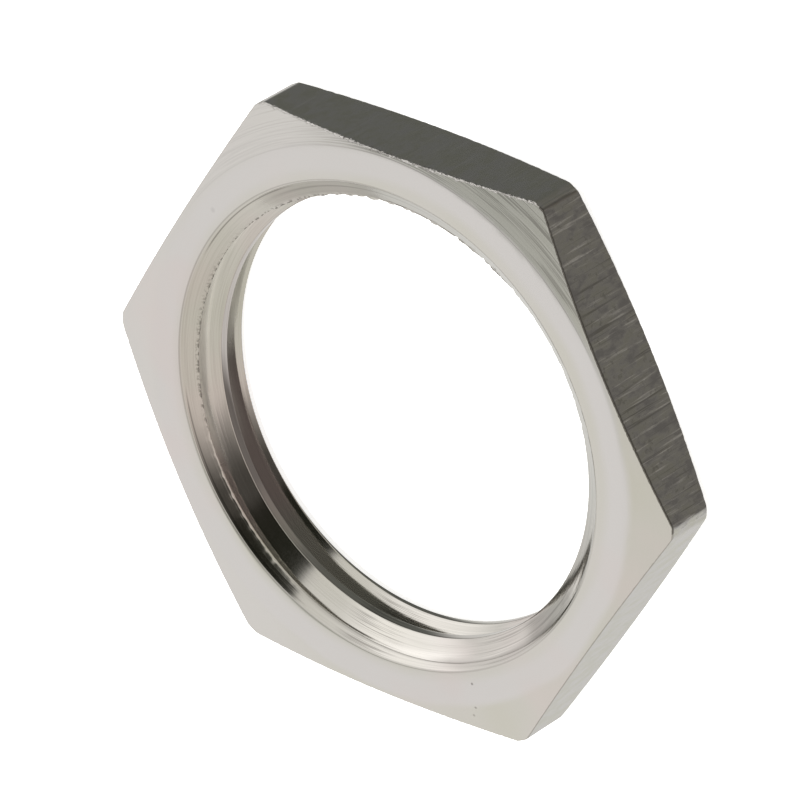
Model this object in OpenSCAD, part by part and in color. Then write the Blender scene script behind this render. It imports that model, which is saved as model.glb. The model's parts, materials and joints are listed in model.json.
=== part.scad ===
// Hexagon locknut for a cable gland: a thin slice of hexagon bar, drilled for a fine thread.
// Both faces are turned: a flat ring in the middle, and round it a shallow cone, which takes off the six
// corners and leaves a curved edge on each spanner flat. The hole is countersunk at both ends, and its
// wall stands at the crests of the thread.
// The corners point along X, two flats face along Y, and the lower face lies on Z = 0. Millimetres.

/* [Hexagon] */
// Width across the flats, from one spanner face to the opposite one
across_flats = 24; // [22:0.5:36]
// Thickness of the nut, from face to face
thickness = 3.2; // [2:0.1:8]
// How much the turning takes off each sharp corner, measured along the radius
corner_loss = 0.14; // [0.01:0.01:0.4]

/* [Corner bevels] */
// Angle between the bevel and the face
bevel_angle = 14; // [5:1:35]
// Distance from the middle of a flat in to the circle where the bevel starts
bevel_inset = 0.18; // [0.02:0.01:0.8]

/* [Threaded hole] */
// Nominal diameter of the thread that screws into the nut
thread_d = 20; // [12:0.5:22]
// Pitch of the thread
pitch = 1.5; // [0.75:0.25:2]
// Height of the thread ridges, as a percentage of the full sharp triangle
ridge_share = 50; // [40:1:62]
// Included angle of the countersink at each end of the hole
countersink_angle = 100; // [80:5:150]
// How far the upper countersink opens past the thread, measured along the radius
countersink_reach = 0.4; // [0.05:0.01:1]
// Depth of the lower countersink, which is the smaller one
lower_depth = 0.44; // [0.1:0.01:0.6]

/* [Hidden] */

// Angle of each flank of a metric thread, measured from the plane across the axis
flank_angle = 30;
HEXAGON_SIDES = 6;
ROUND = 180;

flat_r = across_flats / 2;
sharp_corner_r = flat_r / cos(180 / HEXAGON_SIDES);
corner_r = sharp_corner_r - corner_loss;

// The flat ring of each face ends just inside the flats, and the bevel falls away from there to the corners
face_r = flat_r - bevel_inset;
bevel_drop = (corner_r - face_r) * tan(bevel_angle);

// A full ridge would be as high as a triangle of sixty degrees on a base of one pitch
sharp_ridge = pitch / (2 * tan(flank_angle));
hole_r = thread_d / 2 - sharp_ridge * ridge_share / 100;
upper_r = thread_d / 2 + countersink_reach;
upper_depth = (upper_r - hole_r) / tan(countersink_angle / 2);
lower_r = hole_r + lower_depth * tan(countersink_angle / 2);

// Half of the section through the axis, as the lathe leaves it: hole wall, countersinks, faces and bevels
module turned_section() {
    polygon([
        [hole_r, lower_depth],
        [lower_r, 0],
        [face_r, 0],
        [corner_r, bevel_drop],
        [corner_r, thickness - bevel_drop],
        [face_r, thickness],
        [upper_r, thickness],
        [hole_r, thickness - upper_depth]
    ]);
}

// The bar that the nut is cut from, with sharp corners
module hexagon_bar() {
    linear_extrude(height = thickness)
        circle(r = sharp_corner_r, $fn = HEXAGON_SIDES);
}

// The nut is what the bar and the turned ring have in common
module locknut() {
    color([0.78, 0.76, 0.73])
        intersection() {
            hexagon_bar();
            rotate_extrude($fn = ROUND)
                turned_section();
        }
}

locknut();
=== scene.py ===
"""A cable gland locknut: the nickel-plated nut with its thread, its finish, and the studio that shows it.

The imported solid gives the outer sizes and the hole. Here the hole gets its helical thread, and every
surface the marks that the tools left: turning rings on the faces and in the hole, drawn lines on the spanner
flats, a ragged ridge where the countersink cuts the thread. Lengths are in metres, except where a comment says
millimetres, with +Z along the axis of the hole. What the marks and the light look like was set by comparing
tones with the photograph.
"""

import json
import math

import bpy
import numpy as np
from bpy.props import FloatProperty, FloatVectorProperty, IntProperty, PointerProperty
from bpy.types import Operator, Panel, PropertyGroup
from mathutils import Matrix, Vector


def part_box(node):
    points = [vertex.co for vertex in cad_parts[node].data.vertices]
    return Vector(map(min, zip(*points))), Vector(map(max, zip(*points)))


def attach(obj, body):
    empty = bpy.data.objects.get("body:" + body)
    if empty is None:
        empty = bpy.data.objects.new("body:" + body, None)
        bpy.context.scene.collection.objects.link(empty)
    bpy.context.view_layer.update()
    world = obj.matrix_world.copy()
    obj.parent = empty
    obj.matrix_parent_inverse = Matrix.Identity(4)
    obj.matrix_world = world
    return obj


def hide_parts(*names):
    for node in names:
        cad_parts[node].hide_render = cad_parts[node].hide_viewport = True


bl_info = {
    "name": "Cable gland locknut",
    "version": (1, 0, 0),
    "blender": (4, 5, 0),
    "location": "3D View > Sidebar > Locknut",
    "description": "Adds a nickel-plated cable gland locknut, its camera and its studio",
    "category": "Add Mesh",
}

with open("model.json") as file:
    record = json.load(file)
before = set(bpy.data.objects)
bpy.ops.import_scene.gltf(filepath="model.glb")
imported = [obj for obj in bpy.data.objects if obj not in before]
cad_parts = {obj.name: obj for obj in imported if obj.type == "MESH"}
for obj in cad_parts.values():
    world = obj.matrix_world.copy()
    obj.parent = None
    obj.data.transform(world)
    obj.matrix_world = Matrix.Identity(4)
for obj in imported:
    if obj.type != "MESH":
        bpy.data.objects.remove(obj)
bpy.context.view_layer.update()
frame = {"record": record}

NODE = "locknut"
MM = 0.001
SEED = 20

LOW, HIGH = (np.array(corner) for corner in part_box(NODE))
THREAD = next(mount for mount in frame["record"]["mounts"] if mount["name"] == "thread")
HOLE = THREAD["dims"]

# Sizes of the solid in millimetres, and the angle of its countersinks
THICKNESS = (HIGH[2] - LOW[2]) / MM
LOWER_DEPTH = THREAD["pos_m"][2] / MM - HOLE["length_mm"] / 2
UPPER_DEPTH = THICKNESS - HOLE["length_mm"] - LOWER_DEPTH
COUNTERSINK = math.radians(100)
RIM = HOLE["r_mm"] + UPPER_DEPTH * math.tan(COUNTERSINK / 2)
BEVEL_INSET = 0.18
BEVEL_CIRCLE = (HIGH[1] - LOW[1]) / 2 / MM - BEVEL_INSET
SIDES = 6
SIDE_ANGLE = 2 * math.pi / SIDES

# Points along a fine section before its rows are spaced, the length that a turn of one radian counts for, and
# the rows of the hole and of the two faces
FINE_POINTS = 480
BEND_WEIGHT = 1.1 * MM
HOLE_ROWS = 62
UPPER_ROWS = 14
LOWER_ROWS = 10

# Small rounds where two surfaces meet: at the crests, in the root, along the countersinks and along the bevel
CREST_ROUND = 0.025 * MM
ROOT_ROUND = 0.04 * MM
CONE_ROUND = 0.03 * MM
BEVEL_ROUND = 0.01 * MM

# How far the ridge's wear and the marks reach, along the radius
RIDGE_REACH = 0.13 * MM
ROOT_REACH = 0.12 * MM
CONE_MARGIN = 0.02 * MM

# Radii in millimetres where the marks of the grooves begin. From the first, the groove's bottom gets a painted
# highlight
HIGHLIGHT_GROOVE = 9.88
FIRST_GROOVE = 9.85
SECOND_GROOVE = 9.62


class LOCKNUT_PG_sizes(PropertyGroup):
    """Sizes of the nut."""

    across_flats: FloatProperty(
        name="Across flats",
        description="Distance between two opposite spanner flats",
        default=float(HIGH[1] - LOW[1]),
        unit="LENGTH",
        subtype="DISTANCE",
    )
    across_corners: FloatProperty(
        name="Across corners",
        description="Distance between two opposite corners, after turning",
        default=float(HIGH[0] - LOW[0]),
        unit="LENGTH",
        subtype="DISTANCE",
    )
    thickness: FloatProperty(
        name="Thickness",
        description="Distance from face to face",
        default=float(HIGH[2] - LOW[2]),
        unit="LENGTH",
        subtype="DISTANCE",
    )
    bevel_inset: FloatProperty(
        name="Bevel inset",
        description="Distance from the middle of a flat in to the circle where the bevel starts",
        default=BEVEL_INSET * MM,
        unit="LENGTH",
        subtype="DISTANCE",
    )
    bevel_angle: FloatProperty(
        name="Bevel angle",
        description="Angle between the bevel and the face",
        default=math.radians(14),
        unit="ROTATION",
        subtype="ANGLE",
    )
    crest_radius: FloatProperty(
        name="Crest radius",
        description="Distance from the axis to the crests of the thread",
        default=HOLE["r_mm"] * MM,
        unit="LENGTH",
        subtype="DISTANCE",
    )
    upper_depth: FloatProperty(
        name="Upper countersink depth",
        description="Depth of the upper countersink",
        default=UPPER_DEPTH * MM,
        unit="LENGTH",
        subtype="DISTANCE",
    )
    lower_depth: FloatProperty(
        name="Lower countersink depth",
        description="Depth of the lower countersink",
        default=LOWER_DEPTH * MM,
        unit="LENGTH",
        subtype="DISTANCE",
    )
    countersink_angle: FloatProperty(
        name="Countersink angle",
        description="Included angle of each countersink",
        default=COUNTERSINK,
        unit="ROTATION",
        subtype="ANGLE",
    )
    pitch: FloatProperty(
        name="Pitch",
        description="Distance from one crest of the thread to the next",
        default=1.5 * MM,
        unit="LENGTH",
        subtype="DISTANCE",
    )
    crest_width: FloatProperty(
        name="Crest width",
        description="Width of the flat top of a thread ridge",
        default=0.37 * MM,
        unit="LENGTH",
        subtype="DISTANCE",
    )
    root_radius: FloatProperty(
        name="Root radius",
        description="Distance from the axis to the bottom of the thread groove",
        default=10.25 * MM,
        unit="LENGTH",
        subtype="DISTANCE",
    )
    thread_height: FloatProperty(
        name="Thread start",
        description="Height of the upper edge of the first crest on the +X side",
        default=1.784 * MM,
        unit="LENGTH",
        subtype="DISTANCE",
    )
    edge_radius: FloatProperty(
        name="Edge radius",
        description="Radius of the small round along the outer edges",
        default=0.04 * MM,
        unit="LENGTH",
        subtype="DISTANCE",
    )
    corner_round: FloatProperty(
        name="Corner round",
        description="Reach of the round that the drawn bar has along its six corners",
        default=0.03 * MM,
        unit="LENGTH",
        subtype="DISTANCE",
    )
    columns: IntProperty(
        name="Columns",
        description="Number of sections around the axis",
        default=1000,
    )


class LOCKNUT_PG_finish(PropertyGroup):
    """Colours of the plating."""

    nickel: FloatVectorProperty(
        name="Nickel",
        description="Colour of the clean plating",
        default=(0.626, 0.614, 0.609),
        size=3,
        subtype="COLOR",
    )
    straw: FloatVectorProperty(
        name="Straw",
        description="Colour of the yellowish patches in the plating",
        default=(0.575, 0.567, 0.512),
        size=3,
        subtype="COLOR",
    )
    # Rose colours the plating's pink patches and also the painted reflection tint in the hole
    rose: FloatVectorProperty(
        name="Rose",
        description="Colour of the pinkish patches in the plating",
        default=(0.645, 0.585, 0.575),
        size=3,
        subtype="COLOR",
    )
    # Grime is also the colour of the painted shade along the turning lines, the ridge and the groove's root
    grime_and_painted_shade: FloatVectorProperty(
        name="Grime",
        description="Colour of pits and of the dirt caught on the ragged ridge",
        default=(0.10, 0.09, 0.08),
        size=3,
        subtype="COLOR",
    )
    roughness: FloatProperty(
        name="Roughness",
        description="Roughness of the clean plating",
        default=0.2,
        subtype="FACTOR",
    )
    hole_roughness: FloatProperty(
        name="Hole roughness",
        description="Roughness of the plating in the hole, which is the smoothest",
        default=0.1,
        subtype="FACTOR",
    )


class LOCKNUT_PG_view(PropertyGroup):
    """Where the camera stands, and what it sees around the nut."""

    azimuth: FloatProperty(
        name="Azimuth",
        description="Direction from the nut to the camera, from +X towards +Y",
        default=math.radians(222.02),
        unit="ROTATION",
        subtype="ANGLE",
    )
    elevation: FloatProperty(
        name="Elevation",
        description="Height of the camera above the face of the nut, as an angle",
        default=math.radians(44.23),
        unit="ROTATION",
        subtype="ANGLE",
    )
    roll: FloatProperty(
        name="Roll",
        description="Turn of the camera about its line of sight",
        default=math.radians(-120.86),
        unit="ROTATION",
        subtype="ANGLE",
    )
    distance: FloatProperty(
        name="Distance",
        description="Distance from the camera to the point that it aims at",
        default=340.8 * MM,
        unit="LENGTH",
        subtype="DISTANCE",
    )
    aim: FloatVectorProperty(
        name="Aim",
        description="Point in the middle of the picture",
        default=(1.033 * MM, 0.091 * MM, 0.851 * MM),
        size=3,
        unit="LENGTH",
        subtype="XYZ",
    )
    lens: FloatProperty(
        name="Lens",
        description="Focal length in millimetres on a sensor 36 mm wide",
        default=388.3,
    )
    floor_colour: FloatVectorProperty(
        name="Floor",
        description="Colour of the floor",
        default=(0.93, 0.93, 0.93),
        size=3,
        subtype="COLOR",
    )
    room_colour: FloatVectorProperty(
        name="Room",
        description="Light that comes from all round the nut",
        default=(1.0, 0.975, 0.945),
        size=3,
        subtype="COLOR",
    )
    floor_light: FloatProperty(
        name="Floor light",
        description="Power of the large lamp over the floor, in watts",
        default=10.0,
    )
    floor_glow: FloatProperty(
        name="Floor glow",
        description="Light that the floor gives by itself, like a light table",
        default=0.75,
    )


def rounded_max(one, other, reach):
    """The larger of two lengths. The corner where they meet is rounded over about the reach."""
    return 0.5 * (one + other + np.hypot(one - other, reach))


def rounded_min(one, other, reach):
    """The smaller of two lengths, with the corner rounded in the same way."""
    return -rounded_max(-one, -other, reach)


def ripple(angle, slowest, fastest, seed):
    """Noise around the axis, about -1 to 1: sine waves with random phases, whose sum closes on itself."""
    draw = np.random.default_rng(seed)
    counts = draw.integers(slowest, fastest, 48)
    phases = draw.uniform(0, 2 * math.pi, counts.size)
    waves = np.sin(angle[..., None] * counts + phases)
    return waves.sum(axis=-1) / math.sqrt(counts.size)


def arc(angle, first, last, soft=6):
    """1 between two directions round the axis, given in degrees, and 0 away from them, with soft ends."""
    middle, half = math.radians(first + last) / 2, math.radians(last - first) / 2
    off = np.abs(np.mod(angle - middle + math.pi, 2 * math.pi) - math.pi)
    return np.clip(0.5 + (half - off) / math.radians(soft), 0, 1)


def column_angles(count):
    """Angles of the sections round the axis, crowded at the six corners, which need the finest steps."""
    crowding = 0.45
    even = np.arange(count) * 2 * math.pi / count
    return even - crowding / SIDES * np.sin(SIDES * even)


def spaced_rows(across, up, count, bend_weight):
    """Rows along each fine section, spaced evenly by its length plus a weight times its turning.

    The arrays hold one section per line. Each section's travelled weight runs from 0 to 1, and is shifted by
    two for each section, so that one interpolation serves them all. The rows by the ends lie close to them.
    """
    step = np.hypot(np.diff(across, axis=1), np.diff(up, axis=1))
    heading = np.unwrap(np.arctan2(np.diff(up, axis=1), np.diff(across, axis=1)), axis=1)
    turning = np.abs(np.diff(heading, axis=1))
    weight = step.copy()
    weight[:, 1:] += bend_weight * turning / 2
    weight[:, :-1] += bend_weight * turning / 2
    for _ in range(4):
        padded = np.pad(weight, ((0, 0), (1, 1)), mode="edge")
        weight = (padded[:, :-2] + padded[:, 1:-1] + padded[:, 2:]) / 3
    travelled = np.pad(np.cumsum(weight, axis=1), ((0, 0), (1, 0)))
    travelled /= travelled[:, -1:]
    shift = 2.0 * np.arange(len(across))[:, None]
    tight = 0.12 / count
    share = np.concatenate(([0, tight], np.linspace(0, 1, count - 2)[1:-1], [1 - tight, 1]))
    wanted = (share[None, :] + shift).ravel()
    known = (travelled + shift).ravel()
    rows = [np.interp(wanted, known, fine.ravel()).reshape(len(across), -1) for fine in (across, up)]
    return rows[0], rows[1]


def past(radius, first):
    """0 up to a radius in millimetres, and 1 from a tenth of a millimetre further out."""
    return np.clip((radius / MM - first) / 0.1, 0, 1)


def hole_radius(sizes, angle, height):
    """Radius of the hole at an angle and a height, and from 0 to 1 how far that point lies in four marks.

    The thread is a right-hand helix. Away from the middle of a crest its radius grows by the cotangent of
    thirty degrees, between the crest and the root. The two countersinks are cones, and the hole is the widest
    of the three. Where the upper cone leaves a ridge against the thread, the cutter tore chips out of it, and
    on the far side it left a ragged lip. The marks are the dirty part of that ridge, painted shade along the
    ridge elsewhere and in the groove's root, a painted highlight that whitens the bottom of the groove, and
    the hidden groove. That one is given a matt finish, because as a mirror it reflects itself twice and shows
    dark strips that the photograph doesn't have.
    """
    steepness = math.tan(sizes.countersink_angle / 2)
    upper_cone = sizes.crest_radius + (sizes.upper_depth - sizes.thickness + height) * steepness
    lower_cone = sizes.crest_radius + (sizes.lower_depth - height) * steepness

    middle = sizes.thread_height - sizes.crest_width / 2 + sizes.pitch * angle / (2 * math.pi)
    turns = (height - middle) / sizes.pitch
    off_crest = np.abs(turns - np.round(turns)) * sizes.pitch
    flank = sizes.crest_radius + (off_crest - sizes.crest_width / 2) * math.sqrt(3)
    crests = rounded_max(sizes.crest_radius, flank, CREST_ROUND)
    thread = rounded_min(sizes.root_radius, crests, ROOT_ROUND)
    upper_half = height > sizes.thickness / 2
    uncut = thread > upper_cone - CONE_MARGIN

    near = np.exp(-(((thread - upper_cone) / RIDGE_REACH) ** 2))
    torn = 0.3 * arc(angle, -60, 20) + 0.5 * arc(angle, 20, 62) + 1.6 * arc(angle, 195, 292)
    chips = torn * np.clip(ripple(angle, 40, 190, SEED) - 0.2, 0, 1.4)
    worn = (0.03 + 0.015 * arc(angle, 20, 66)) * MM
    ragged = np.clip(1 + 0.4 * ripple(angle, 16, 110, SEED + 2), 0.3, 1.7)
    lip = 0.07 * arc(angle, 236, 312, 16) * ragged
    upper = rounded_max(thread, upper_cone, worn) + MM * (0.03 * chips * near - lip * near ** 2)
    dirty = arc(angle, -75, 20) + 0.25 * arc(angle, 20, 66) + 0.5 * arc(angle, 195, 285)
    ridge = near ** 1.5 * dirty * (upper < sizes.root_radius - ROOT_ROUND)
    # Painted shade along the ridge and in the groove's root, at given angles
    painted_root_shade = np.exp(-(((sizes.root_radius - thread) / ROOT_REACH) ** 2)) * arc(angle, 104, 148, 8)
    painted_seam_shade = np.maximum(near ** 3 * arc(angle, 64, 116), painted_root_shade) * upper_half
    # Painted highlight: where the bottom of the groove is whitened, at given angles
    highlight_share = 0.7 * arc(angle, -85, 24, 12) + 0.3 * arc(angle, 90, 130, 14) + 0.2 * arc(angle, 145, 185, 14)
    groove = past(thread, HIGHLIGHT_GROOVE) * uncut * highlight_share
    first_groove = past(thread, FIRST_GROOVE) * arc(angle, -85, 30, 16)
    second_groove = past(thread, SECOND_GROOVE) * arc(angle, -85, 4, 16)
    hidden = np.where(upper_half, first_groove, second_groove) * uncut
    lower = rounded_max(upper, lower_cone, CONE_ROUND)
    return lower, {"ridge": ridge, "painted_seam_shade": painted_seam_shade, "groove": groove, "hidden": hidden}


def face_rows(sizes, angle, start, sunk, count, burr):
    """Rows from the end of the hole out over a face and round its edge, as radius and depth under the face.

    The depth is the largest of three: the countersink's cone, zero on the flat ring, and the bevel, which
    falls away from its circle by the tangent of its angle. The outline of the hexagon is the distance to its
    flat over the cosine of the angle from the middle of that flat, and it stops at the turned corners.
    """
    steepness = math.tan(sizes.countersink_angle / 2)
    rim = sizes.crest_radius + sunk * steepness
    off_flat = np.mod(angle, SIDE_ANGLE) - SIDE_ANGLE / 2
    flat = sizes.across_flats / 2 / np.cos(off_flat)
    outline = rounded_min(flat, sizes.across_corners / 2, sizes.corner_round)
    edge = sizes.edge_radius * (1 + burr)

    def depth(distance):
        cone = rounded_max(0 * distance, (rim - distance) / steepness, CONE_ROUND)
        bevel = (distance - sizes.across_flats / 2 + sizes.bevel_inset) * math.tan(sizes.bevel_angle)
        return rounded_max(cone, bevel, BEVEL_ROUND)

    inset = outline - edge
    slope = np.arctan2(depth(inset + 0.01 * MM) - depth(inset - 0.01 * MM), 0.02 * MM)
    centre = depth(inset) + edge / np.cos(slope)
    turn = slope + (math.pi / 2 - slope) * np.linspace(0, 1, 6)[None, :]
    round_r = inset + edge * np.sin(turn)
    round_z = centre - edge * np.cos(turn)
    out = start + (round_r[:, :1] - start) * np.linspace(0, 1, FINE_POINTS)[None, :]
    face_r, face_z = spaced_rows(out, depth(out), count, BEND_WEIGHT)
    face_r[:, -1:] = round_r[:, :1]
    face_z[:, -1:] = round_z[:, :1]
    return face_r[:, 1:], face_z[:, 1:], round_r[:, 1:], round_z[:, 1:]


def section(sizes, angle):
    """The closed section at each angle: up the hole, out over the face, down the side and back below.

    The hole's own rows stop a little short of both faces, where the cones have taken over from the thread.
    """
    around = angle[:, None]
    margin = 0.05 * MM
    height = np.linspace(margin, sizes.thickness - margin, FINE_POINTS)[None, :] + 0 * around
    radius = hole_radius(sizes, around, height)[0]
    hole_r, hole_z = spaced_rows(radius, height, HOLE_ROWS, BEND_WEIGHT)

    side_number = np.floor(np.mod(angle, 2 * math.pi) / SIDE_ANGLE).astype(int) % SIDES
    rough = np.array(BURR)[side_number][:, None]
    upper_burr = rough * np.clip(1 + ripple(around, 40, 400, SEED + 1), 0.1, 3)
    lower_burr = 0.5 * np.clip(1 + ripple(around, 40, 400, SEED + 3), 0.1, 3)
    upper = face_rows(sizes, around, radius[:, -1:], sizes.upper_depth, UPPER_ROWS, upper_burr)
    lower = face_rows(sizes, around, radius[:, :1], sizes.lower_depth, LOWER_ROWS, lower_burr)
    share = np.array([0.03, 0.5, 0.97])[None, :]
    side_r = upper[2][:, -1:] + 0 * share
    high = sizes.thickness - upper[3][:, -1:]
    side_z = high + (lower[3][:, -1:] - high) * share
    return [
        ("hole", hole_r, hole_z),
        ("face", upper[0], sizes.thickness - upper[1]),
        ("edge", upper[2], sizes.thickness - upper[3]),
        ("side", side_r, side_z),
        ("edge", lower[2][:, ::-1], lower[3][:, ::-1]),
        ("face", lower[0][:, ::-1], lower[1][:, ::-1]),
    ]


def ring_depth(angle, in_hole):
    """How deep the turning lines are in the hole and on the bevels, by the direction from the axis."""
    hole = 0.3 + 0.15 * arc(angle, 128, 200, 20)
    bevel = 0.35 + 0.15 * arc(angle, 285, 320, 20) + 0.8 * arc(angle, 222, 282, 16)
    return np.where(in_hole, hole, bevel)


def painted_streak_depth(angle, in_hole):
    """How dark the painted shade along the turning lines is. The real turning marks are bump."""
    hole = 0.1 + 0.45 * arc(angle, 79, 92, 5) + 0.2 * arc(angle, 118, 134, 8) + 0.2 * arc(angle, 138, 190, 12)
    bevel = 0.45 * arc(angle, 218, 282, 16) + 0.08 * arc(angle, 285, 325, 10)
    return np.where(in_hole, hole, bevel)


def quad_grid(columns, rows):
    """Corner numbers of the quads of a grid that closes on itself both ways, facing away from the metal."""
    column = np.arange(columns)[:, None]
    row = np.arange(rows)[None, :]
    here = column * rows + row
    above = column * rows + (row + 1) % rows
    beside = (column + 1) % columns * rows + row
    both = (column + 1) % columns * rows + (row + 1) % rows
    return np.stack([here, above, both, beside], axis=-1).reshape(-1, 4)


class Nodes:
    """Adds nodes to a material or a world, and links whatever is handed in as an input."""

    def __init__(self, tree):
        self.tree = tree
        tree.nodes.clear()

    def add(self, kind, inputs=(), **settings):
        made = self.tree.nodes.new(kind)
        for name, value in settings.items():
            setattr(made, name, value)
        for name, value in dict(inputs).items():
            socket = made.inputs[name]
            if isinstance(value, bpy.types.NodeSocket):
                self.tree.links.new(value, socket)
            else:
                socket.default_value = value
        return made

    def math(self, operation, *values):
        return self.add("ShaderNodeMath", enumerate(values), operation=operation).outputs[0]

    def vector(self, operation, *values):
        made = self.add("ShaderNodeVectorMath", enumerate(values), operation=operation)
        return made.outputs["Value" if operation in ("DOT_PRODUCT", "LENGTH", "DISTANCE") else "Vector"]

    def ramp(self, value, low, high, to_low=0.0, to_high=1.0):
        inputs = {0: value, 1: low, 2: high, 3: to_low, 4: to_high}
        return self.add("ShaderNodeMapRange", inputs, interpolation_type="SMOOTHSTEP").outputs[0]

    def attribute(self, name):
        return self.add("ShaderNodeAttribute", attribute_name=name).outputs["Fac"]

    def band(self, value, middle, reach):
        """1 at the middle value, falling to 0 at the reach on both sides."""
        off = self.math("ABSOLUTE", self.math("SUBTRACT", value, middle))
        return self.ramp(off, reach, 0.3 * reach)

    def noise(self, place, detail=2.0, roughness=0.5):
        inputs = {"Vector": place, "Scale": 1.0, "Detail": detail, "Roughness": roughness}
        return self.add("ShaderNodeTexNoise", inputs).outputs["Fac"]

    def bump(self, relief, distance):
        inputs = {"Strength": 1.0, "Distance": distance, "Height": relief}
        return self.add("ShaderNodeBump", inputs).outputs[0]

    def mix(self, factor, one, other):
        """A colour between two others. The numbers are the mix node's sockets for colours."""
        made = self.add("ShaderNodeMix", data_type="RGBA")
        for number, value in ((0, factor), (6, one), (7, other)):
            if isinstance(value, bpy.types.NodeSocket):
                self.tree.links.new(value, made.inputs[number])
            else:
                made.inputs[number].default_value = value
        return made.outputs[2]


# Heights of the fine relief on turned and on drawn metal, and the colour of the painted highlight that whitens
# the bottom of the groove and the scored lines on the flats
TURNED_RELIEF = 0.008 * MM
DRAWN_RELIEF = 0.009 * MM
PAINTED_HIGHLIGHT = (1.0, 0.98, 0.95)


def opaque(colour):
    """A colour with full opacity, as the sockets want it."""
    return (*colour, 1.0)


def in_mm(nodes):
    """A point's place in millimetres, and its distance from the axis and height."""
    place = nodes.add("ShaderNodeTexCoord").outputs["Object"]
    place = nodes.vector("MULTIPLY", place, (1 / MM,) * 3)
    parts = nodes.add("ShaderNodeSeparateXYZ", {0: place})
    flat = nodes.add("ShaderNodeCombineXYZ", {0: parts.outputs[0], 1: parts.outputs[1]}).outputs[0]
    return place, nodes.vector("LENGTH", flat), parts.outputs[2]


def drawn_out(nodes, place, round_scale, line_scale, offset=0.0):
    """Noise drawn out into lines, with one scale along X and Y and another along the third coordinate."""
    scales = (round_scale, round_scale, line_scale)
    scaled = nodes.vector("MULTIPLY_ADD", place, scales, (offset,) * 3)
    return nodes.noise(scaled, detail=2.5)


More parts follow.
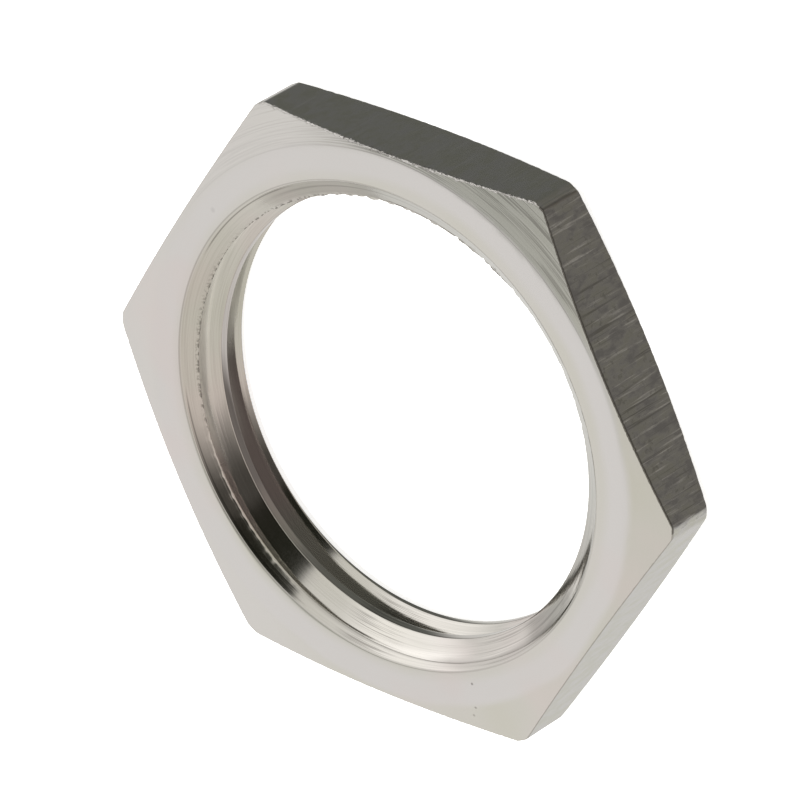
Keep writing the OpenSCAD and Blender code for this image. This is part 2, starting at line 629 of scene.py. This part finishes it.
def turned_plating(finish):
    """Nickel on turned metal. Its lines are rings: noise fast across radius plus height, and slow around."""
    material = bpy.data.materials.new("turned_nickel")
    material.use_nodes = True
    nodes = Nodes(material.node_tree)
    place, radius, height = in_mm(nodes)
    across = nodes.math("MULTIPLY_ADD", height, 0.6, radius)
    parts = nodes.add("ShaderNodeSeparateXYZ", {0: place})
    ring_inputs = {0: parts.outputs[0], 1: parts.outputs[1], 2: across}
    rings = nodes.add("ShaderNodeCombineXYZ", ring_inputs).outputs[0]
    patches = nodes.noise(nodes.vector("MULTIPLY", place, (0.14,) * 3), detail=2.0)
    other_patches = nodes.noise(nodes.vector("MULTIPLY_ADD", place, (0.2,) * 3, (7.0, 3.0, 5.0)), detail=2.0)
    on_bevel = nodes.ramp(radius, BEVEL_CIRCLE - 0.02, BEVEL_CIRCLE + 0.06)
    in_hole = nodes.ramp(radius, RIM - 0.02, RIM - 0.06)
    depth = nodes.attribute("rings")

    feed = drawn_out(nodes, rings, 0.10, 4.2)
    fine = drawn_out(nodes, rings, 0.20, 13.0, 3.0)
    swell = nodes.ramp(feed, 0.35, 0.6, 0.8, 1.1)
    hair = nodes.math("MULTIPLY", drawn_out(nodes, rings, 0.3, 30.0, 6.0), swell)
    lines = nodes.math("MULTIPLY_ADD", feed, 0.35, nodes.math("MULTIPLY", fine, 0.9))
    cut = nodes.math("MULTIPLY", nodes.math("MAXIMUM", on_bevel, in_hole), depth)
    lines = nodes.math("MULTIPLY", lines, nodes.math("ADD", cut, 0.05))
    grain = nodes.noise(nodes.vector("MULTIPLY", place, (9.0,) * 3), detail=2.0)
    burr, ridge = nodes.attribute("burr"), nodes.attribute("ridge")
    torn = nodes.math("MULTIPLY_ADD", burr, 6.0, nodes.math("MULTIPLY", ridge, 1.5))
    relief = nodes.math("ADD", lines, nodes.math("MULTIPLY", torn, grain))
    bump = nodes.bump(relief, TURNED_RELIEF)

    towards = nodes.vector("DOT_PRODUCT", place, (-0.87, 0.5, 0.0))
    side_share = nodes.ramp(towards, -2.0, 9.0, 0.25, 1.0)
    wavy = nodes.math("MULTIPLY_ADD", patches, 1.2, radius)
    outer = nodes.ramp(wavy, BEVEL_CIRCLE + 0.45, BEVEL_CIRCLE + 0.85)
    rim_band = nodes.math("MULTIPLY", nodes.ramp(wavy, RIM + 1.3, RIM + 0.7), 0.8)
    straw = nodes.math("MAXIMUM", nodes.math("MULTIPLY", outer, side_share), rim_band)
    straw = nodes.math("MULTIPLY", straw, nodes.ramp(other_patches, 0.3, 0.6, 1.0, 0.6))
    colour = nodes.mix(straw, opaque(finish.nickel), opaque(finish.straw))
    rose = nodes.math("MULTIPLY", nodes.ramp(other_patches, 0.5, 0.7), 0.5)
    # The pink from the attribute is a painted reflection tint; the noise patches are the plating's own pink
    rose = nodes.math("MAXIMUM", rose, nodes.attribute("rose"))
    colour = nodes.mix(rose, colour, opaque(finish.rose))
    # Painted highlight: the groove's bottom is whitened
    colour = nodes.mix(nodes.attribute("groove"), colour, opaque(PAINTED_HIGHLIGHT))

    # Dirt and painted shade are gathered here. This first share makes the countersink's rim darker in patches
    dirt_and_painted_shade = nodes.math("MULTIPLY", nodes.band(radius, RIM, 0.05), nodes.ramp(patches, 0.35, 0.6, 0.1, 0.25))
    speckle = nodes.noise(nodes.vector("MULTIPLY", place, (6.5,) * 3), detail=2.0)
    dirt = nodes.math("MULTIPLY", ridge, nodes.ramp(speckle, 0.46, 0.58, 0.08, 1.0))
    near_score = nodes.math("MULTIPLY", nodes.band(radius, SCORED, 0.035), nodes.attribute("scored"))
    far_score = nodes.math("MULTIPLY", nodes.band(radius, FAR_SCORED, 0.06), nodes.attribute("far_scored"))
    # Painted shade: dark lines along the turning lines in the hole and on the bevels, standing in for what the
    # turning marks reflect
    hole_streaks = nodes.math("MULTIPLY", in_hole, nodes.ramp(nodes.math("MAXIMUM", hair, fine), 0.5, 0.66))
    bevel_streaks = nodes.math("MULTIPLY", on_bevel, nodes.ramp(hair, 0.46, 0.64))
    painted_streak_shade = nodes.math("ADD", hole_streaks, bevel_streaks)
    painted_streak_shade = nodes.math("MULTIPLY", nodes.attribute("painted_streak_shade"), painted_streak_shade)
    # Painted shade in a line along the bevel's circle
    ring = nodes.math("MULTIPLY", nodes.band(radius, BEVEL_CIRCLE + 0.02, 0.04), nodes.attribute("painted_streak_shade"))
    # Painted shade along the ridge and in the groove's root
    painted_seam_shade = nodes.math("MULTIPLY", nodes.attribute("painted_seam_shade"), 0.7)
    for share in (dirt, painted_seam_shade, near_score, far_score, painted_streak_shade, ring, nodes.attribute("darkening")):
        dirt_and_painted_shade = nodes.math("MAXIMUM", dirt_and_painted_shade, share)
    for pit_radius, pit_angle, pit_size, pit_soil in PITS:
        angle = math.radians(pit_angle)
        centre = (pit_radius * math.cos(angle), pit_radius * math.sin(angle))
        away = nodes.vector("DISTANCE", nodes.vector("MULTIPLY", place, (1.0, 1.0, 0.0)), (*centre, 0.0))
        share = nodes.ramp(away, pit_size, 0.3 * pit_size, 0.0, pit_soil)
        dirt_and_painted_shade = nodes.math("MAXIMUM", dirt_and_painted_shade, nodes.math("MULTIPLY", share, nodes.ramp(height, 1.9, 2.4)))
    colour = nodes.mix(dirt_and_painted_shade, colour, opaque(finish.grime_and_painted_shade))
    roughness = nodes.ramp(patches, 0.3, 0.7, finish.roughness - 0.03, finish.roughness + 0.03)
    smoother = nodes.ramp(in_hole, 0, 1, 1, finish.hole_roughness / finish.roughness)
    roughness = nodes.math("MULTIPLY", roughness, smoother)
    hidden = nodes.math("MULTIPLY", nodes.attribute("hidden"), 0.55)
    matt = nodes.math("MAXIMUM", nodes.attribute("matt"), hidden)
    roughness = nodes.math("MAXIMUM", roughness, matt)
    shader = nodes.add(
        "ShaderNodeBsdfPrincipled",
        {"Base Color": colour, "Metallic": 1.0, "Roughness": roughness, "Normal": bump},
    )
    nodes.add("ShaderNodeOutputMaterial", {"Surface": shader.outputs[0]})
    return material


def drawn_plating(finish):
    """Nickel on the drawn flats. The lines run along the axis: noise fast along X and Y, slow along Z."""
    material = bpy.data.materials.new("drawn_nickel")
    material.use_nodes = True
    nodes = Nodes(material.node_tree)
    place = in_mm(nodes)[0]
    fine = drawn_out(nodes, place, 10.0, 0.25)
    wide = drawn_out(nodes, place, 2.2, 0.15, 4.0)
    mottle = nodes.noise(nodes.vector("MULTIPLY", place, (2.2, 2.2, 1.1)), detail=4.0, roughness=0.6)
    drawn = nodes.attribute("drawn")
    spots = nodes.noise(nodes.vector("MULTIPLY", place, (3.6, 3.6, 3.2)), detail=3.0, roughness=0.65)
    scored = nodes.ramp(drawn_out(nodes, place, 8.0, 0.4, 9.0), 0.55, 0.74)
    lines = nodes.math("MULTIPLY_ADD", fine, 0.5, nodes.math("MULTIPLY_ADD", wide, 0.5, mottle))
    lines = nodes.math("MULTIPLY_ADD", scored, 0.6, lines)
    relief = nodes.math("MULTIPLY", lines, drawn)
    bump = nodes.bump(relief, DRAWN_RELIEF)
    colour = nodes.mix(nodes.ramp(mottle, 0.35, 0.65), opaque(finish.nickel), opaque(finish.straw))
    # Painted highlight: the scored lines on the flats are whitened so that they read bright; their scratches
    # are also bump
    colour = nodes.mix(nodes.math("MULTIPLY", scored, drawn), colour, opaque(PAINTED_HIGHLIGHT))
    dark = nodes.attribute("darkening")
    blemishes = ((fine, 0.46, 0.3, 0.42), (mottle, 0.54, 0.34, 0.34), (spots, 0.46, 0.3, 0.3))
    for noise, clean, full, depth in blemishes:
        share = nodes.math("MULTIPLY", nodes.ramp(noise, clean, full, 0.0, depth), drawn)
        dark = nodes.math("MAXIMUM", dark, share)
    colour = nodes.mix(dark, colour, opaque(finish.grime_and_painted_shade))
    shader = nodes.add(
        "ShaderNodeBsdfPrincipled",
        {"Base Color": colour, "Metallic": 1.0, "Roughness": finish.roughness + 0.05, "Normal": bump},
    )
    nodes.add("ShaderNodeOutputMaterial", {"Surface": shader.outputs[0]})
    return material


# For the sides in turn, from the corner on +X: how rough the upper edge is, how deep the drawn lines are, and
# how much darker the upper edge is made
BURR = (0.5, 0.5, 0.3, 0.4, 1.4, 0.5)
DRAWN = (0.5, 0.5, 0.06, 1.0, 0.12, 0.5)
EDGE_DARKENING = (0.1, 0.1, 0.3, 0.8, 0.0, 0.1)

# Radii of the lines that the tool scored in the upper countersink, at its near and far side, in millimetres
SCORED = 10.27
FAR_SCORED = 10.04

# Small pits in the upper face: distance from the axis in millimetres, angle in degrees, size in millimetres,
# and how dark the dirt in them is
PITS = (
    (10.93, 115.2, 0.08, 0.6),
    (11.95, 113.9, 0.08, 0.45),
    (12.3, 112.5, 0.09, 0.3),
    (11.01, -37.6, 0.16, 0.1),
    (12.88, -69.9, 0.11, 0.85),
    (12.2, -78.9, 0.08, 0.8),
    (13.13, 134.0, 0.1, 0.6),
)


class LOCKNUT_OT_nut(Operator):
    """Add the threaded, bevelled and plated nut"""

    bl_idname = "locknut.add_nut"
    bl_label = "Nut"

    def execute(self, context):
        sizes = context.scene.locknut_sizes
        finish = context.scene.locknut_finish
        angle = column_angles(sizes.columns)
        parts = section(sizes, angle)
        radius = np.concatenate([part[1] for part in parts], axis=1)
        height = np.concatenate([part[2] for part in parts], axis=1)
        zone = np.concatenate([[part[0]] * part[1].shape[1] for part in parts])
        around = angle[:, None]
        points = np.stack([radius * np.cos(around), radius * np.sin(around), height], axis=-1)
        points = points.reshape(-1, 3)
        rows = len(zone)
        quads = quad_grid(sizes.columns, rows)

        mesh = bpy.data.meshes.new("nut")
        mesh.from_pydata(points, [], quads)
        mesh.shade_smooth()
        mesh.materials.append(turned_plating(finish))
        mesh.materials.append(drawn_plating(finish))
        on_side = (zone == "side") | np.roll(zone == "side", -1)
        slots = np.tile(on_side.astype(np.int32), (sizes.columns, 1))
        mesh.polygons.foreach_set("material_index", slots.ravel())
        side_number = np.floor(np.mod(angle, 2 * math.pi) / SIDE_ANGLE).astype(int) % SIDES
        in_hole = zone == "hole"
        edge = (zone == "edge") & (height > sizes.thickness / 2)
        below_crest = in_hole & (height < sizes.thread_height)
        on_crest = radius < sizes.crest_radius + 0.03 * MM
        everywhere = 0 * height
        # Painted reflection: a pink cast in the hole at given angles, beside the plating's own pink patches
        reflected_pink_tint = 0.9 * arc(around, 8, 47, 10) + 0.6 * arc(around, -60, 8, 10) * on_crest
        scored = arc(around, -60, -28) + arc(around, 12, 66) + 0.6 * arc(around, 120, 165)
        shares = {
            "drawn": np.array(DRAWN)[side_number][:, None] + everywhere,
            "burr": np.array(BURR)[side_number][:, None] * (zone == "edge"),
            # Darker at the upper edges, in a narrow zone of the flank, and in a thin line on a side by a
            # corner
            "darkening": np.array(EDGE_DARKENING)[side_number][:, None] * edge
            + 0.3 * arc(around, 133.5, 141, 1.5) * below_crest
            + 0.6 * arc(around, 238.9, 239.5, 0.4) * (zone == "side"),
            "rose": reflected_pink_tint * in_hole,
            "matt": 0.5 * arc(around, -85, -50, 14) * in_hole,
            "scored": 0.55 * scored + everywhere,
            "far_scored": 0.3 * arc(around, 236, 305, 14) + everywhere,
            "rings": ring_depth(around, in_hole),
            "painted_streak_shade": painted_streak_depth(around, in_hole),
        }
        for name, share in hole_radius(sizes, around, height)[1].items():
            shares[name] = share * in_hole
        for name, share in shares.items():
            values = share.astype(np.float32).ravel()
            mesh.attributes.new(name, "FLOAT", "POINT").data.foreach_set("value", values)
        mesh.update()
        nut = bpy.data.objects.new("plated_nut", mesh)
        context.scene.collection.objects.link(nut)
        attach(nut, "root")
        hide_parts(NODE)
        return {"FINISHED"}


# The sensor's width in millimetres, as Blender wants it, and where the camera begins to see, in metres
SENSOR_WIDTH = 36
CLIP_START = 0.01


class LOCKNUT_OT_camera(Operator):
    """Add the camera, which looks down on the nut"""

    bl_idname = "locknut.add_camera"
    bl_label = "Camera"

    def execute(self, context):
        view = context.scene.locknut_view
        level = math.cos(view.elevation)
        forward, sideways = level * math.cos(view.azimuth), level * math.sin(view.azimuth)
        back = Vector((forward, sideways, math.sin(view.elevation)))
        side = Vector((0, 0, 1)).cross(back).normalized()
        upright = Matrix((side, back.cross(side), back)).transposed()
        camera = bpy.data.objects.new("camera", bpy.data.cameras.new("camera"))
        camera.data.lens = view.lens
        camera.data.sensor_width = SENSOR_WIDTH
        camera.data.clip_start = CLIP_START
        turned = upright @ Matrix.Rotation(view.roll, 3, "Z")
        camera.matrix_world = Matrix.Translation(Vector(view.aim) + back * view.distance) @ turned.to_4x4()
        context.scene.collection.objects.link(camera)
        context.scene.camera = camera
        return {"FINISHED"}


# Patches of light that the nut mirrors, placed so that its reflections match the photograph from this camera:
# the direction, the angles in degrees where the patch is full and gone, and its light
CARDS = (
    ("grey card", (0.38, 0.12, 0.92), 6, 20, (0.56, 0.565, 0.51)),
    ("white box", (0.64, -0.42, 0.64), 8, 23, (1.40, 1.36, 1.33)),
    ("grey panel", (0.95, 0.2, 0.185), 6, 11, (0.62, 0.61, 0.585)),
    ("pale patch", (-0.42, -0.57, -0.69), 7, 17, (0.27, 0.25, 0.225)),
)


# Edges of the dark sheet over the camera: a direction, and how far along it the sheet begins and is full
DARK_SHEET = (
    ((-1.0, 0.356, 0.296), -0.01, 0.03),
    ((-0.602, -0.798, 0.0), 0.03, 0.13),
    ((0.0, 0.0, 1.0), 0.70, 0.79),
)


# Colours of the room's dim side, the table round the nut, the table's darker halves and the dark sheet
DIM_ROOM = (0.80, 0.77, 0.69)
TABLE = (0.78, 0.77, 0.74)
LEFT_TABLE = (0.207, 0.197, 0.181)
RIGHT_TABLE = (0.145, 0.147, 0.135)
SHEET = (0.022, 0.022, 0.016)

# Half the floor's width and the lamp's size in metres, and how far the lamp stands towards the camera, as a
# share of its height
FLOOR_REACH = 1.5
LAMP_SIZE = 0.25
LAMP_LEAN = 0.33


class LOCKNUT_OT_studio(Operator):
    """Add the floor, the lamp over it and the light of the room"""

    bl_idname = "locknut.add_studio"
    bl_label = "Studio"

    def execute(self, context):
        view = context.scene.locknut_view
        scene = context.scene
        half = FLOOR_REACH
        corners = [(-half, -half, 0), (half, -half, 0), (half, half, 0), (-half, half, 0)]
        mesh = bpy.data.meshes.new("floor")
        mesh.from_pydata(corners, [], [(0, 1, 2, 3)])
        material = bpy.data.materials.new("floor")
        material.use_nodes = True
        nodes = Nodes(material.node_tree)
        matt = nodes.add("ShaderNodeBsdfDiffuse", {"Color": opaque(view.floor_colour)})
        glow_inputs = {"Color": opaque(view.floor_colour), "Strength": view.floor_glow}
        glow = nodes.add("ShaderNodeEmission", glow_inputs)
        shader = nodes.add("ShaderNodeAddShader", {0: matt.outputs[0], 1: glow.outputs[0]})
        nodes.add("ShaderNodeOutputMaterial", {"Surface": shader.outputs[0]})
        mesh.materials.append(material)
        floor = bpy.data.objects.new("floor", mesh)
        floor.visible_glossy = False
        scene.collection.objects.link(floor)

        lamp = bpy.data.objects.new("lamp", bpy.data.lights.new("lamp", "AREA"))
        lamp.data.size = LAMP_SIZE
        lamp.data.energy = view.floor_light
        lamp.visible_glossy = False
        lean = (LAMP_LEAN * math.cos(view.azimuth), LAMP_LEAN * math.sin(view.azimuth), 1)
        place = Vector(lean).normalized()
        turn = place.to_track_quat("Z", "Y").to_matrix().to_4x4()
        lamp.matrix_world = Matrix.Translation(place) @ turn
        scene.collection.objects.link(lamp)

        world = bpy.data.worlds.new("room")
        world.use_nodes = True
        nodes = Nodes(world.node_tree)
        way = nodes.add("ShaderNodeTexCoord").outputs["Generated"]
        height = nodes.vector("DOT_PRODUCT", way, (0.0, 0.0, 1.0))
        across = nodes.vector("DOT_PRODUCT", way, (1.0, 0.0, 0.0))
        below = nodes.ramp(height, 0.04, -0.06)
        colour = nodes.mix(nodes.ramp(across, 0.5, -0.5), opaque(view.room_colour), opaque(DIM_ROOM))
        colour = nodes.mix(below, colour, opaque(TABLE))
        table = nodes.ramp(nodes.vector("DOT_PRODUCT", way, (-0.34, -0.94, 0.0)), -0.25, 0.12)
        tone = nodes.ramp(across, -0.7, 0.5)
        dark = nodes.mix(tone, opaque(LEFT_TABLE), opaque(RIGHT_TABLE))
        colour = nodes.mix(nodes.math("MULTIPLY", below, table), colour, dark)
        for _, centre, full, gone, tone in CARDS:
            facing = nodes.vector("DOT_PRODUCT", way, tuple(Vector(centre).normalized()))
            share = nodes.ramp(facing, math.cos(math.radians(gone)), math.cos(math.radians(full)))
            colour = nodes.mix(share, colour, opaque(tone))
        along = nodes.vector("DOT_PRODUCT", way, (0.57, -0.82, 0.0))
        thinner = nodes.ramp(along, 0.03, 0.1, 0.93, 1.0)
        share = nodes.math("MULTIPLY", nodes.ramp(along, -0.55, -0.05), thinner)
        for direction, low, high in DARK_SHEET:
            limit = nodes.ramp(nodes.vector("DOT_PRODUCT", way, direction), low, high)
            share = nodes.math("MULTIPLY", share, limit)
        colour = nodes.mix(share, colour, opaque(SHEET))
        room = nodes.add("ShaderNodeBackground", {"Color": colour, "Strength": 1.0})
        nodes.add("ShaderNodeOutputWorld", {"Surface": room.outputs[0]})
        scene.world = world
        scene.view_settings.view_transform = "Standard"
        return {"FINISHED"}


class LOCKNUT_PT_panel(Panel):
    """The locknut's operators and settings"""

    bl_idname = "LOCKNUT_PT_panel"
    bl_label = "Locknut"
    bl_space_type = "VIEW_3D"
    bl_region_type = "UI"
    bl_category = "Locknut"

    def draw(self, context):
        for operator in OPERATORS:
            self.layout.operator(operator.bl_idname)
        for group in GROUPS:
            settings = getattr(context.scene, group)
            for name in settings.__annotations__:
                self.layout.prop(settings, name)


GROUPS = {
    "locknut_sizes": LOCKNUT_PG_sizes,
    "locknut_finish": LOCKNUT_PG_finish,
    "locknut_view": LOCKNUT_PG_view,
}
OPERATORS = (LOCKNUT_OT_camera, LOCKNUT_OT_nut, LOCKNUT_OT_studio)
CLASSES = (*GROUPS.values(), *OPERATORS, LOCKNUT_PT_panel)


def register():
    for listed in CLASSES:
        bpy.utils.register_class(listed)
    for name, group in GROUPS.items():
        setattr(bpy.types.Scene, name, PointerProperty(type=group))


def unregister():
    for name in GROUPS:
        delattr(bpy.types.Scene, name)
    for listed in reversed(CLASSES):
        bpy.utils.unregister_class(listed)


def main():
    register()
    bpy.ops.locknut.add_camera()
    bpy.ops.locknut.add_nut()
    bpy.ops.locknut.add_studio()


if __name__ == "__main__":
    main()
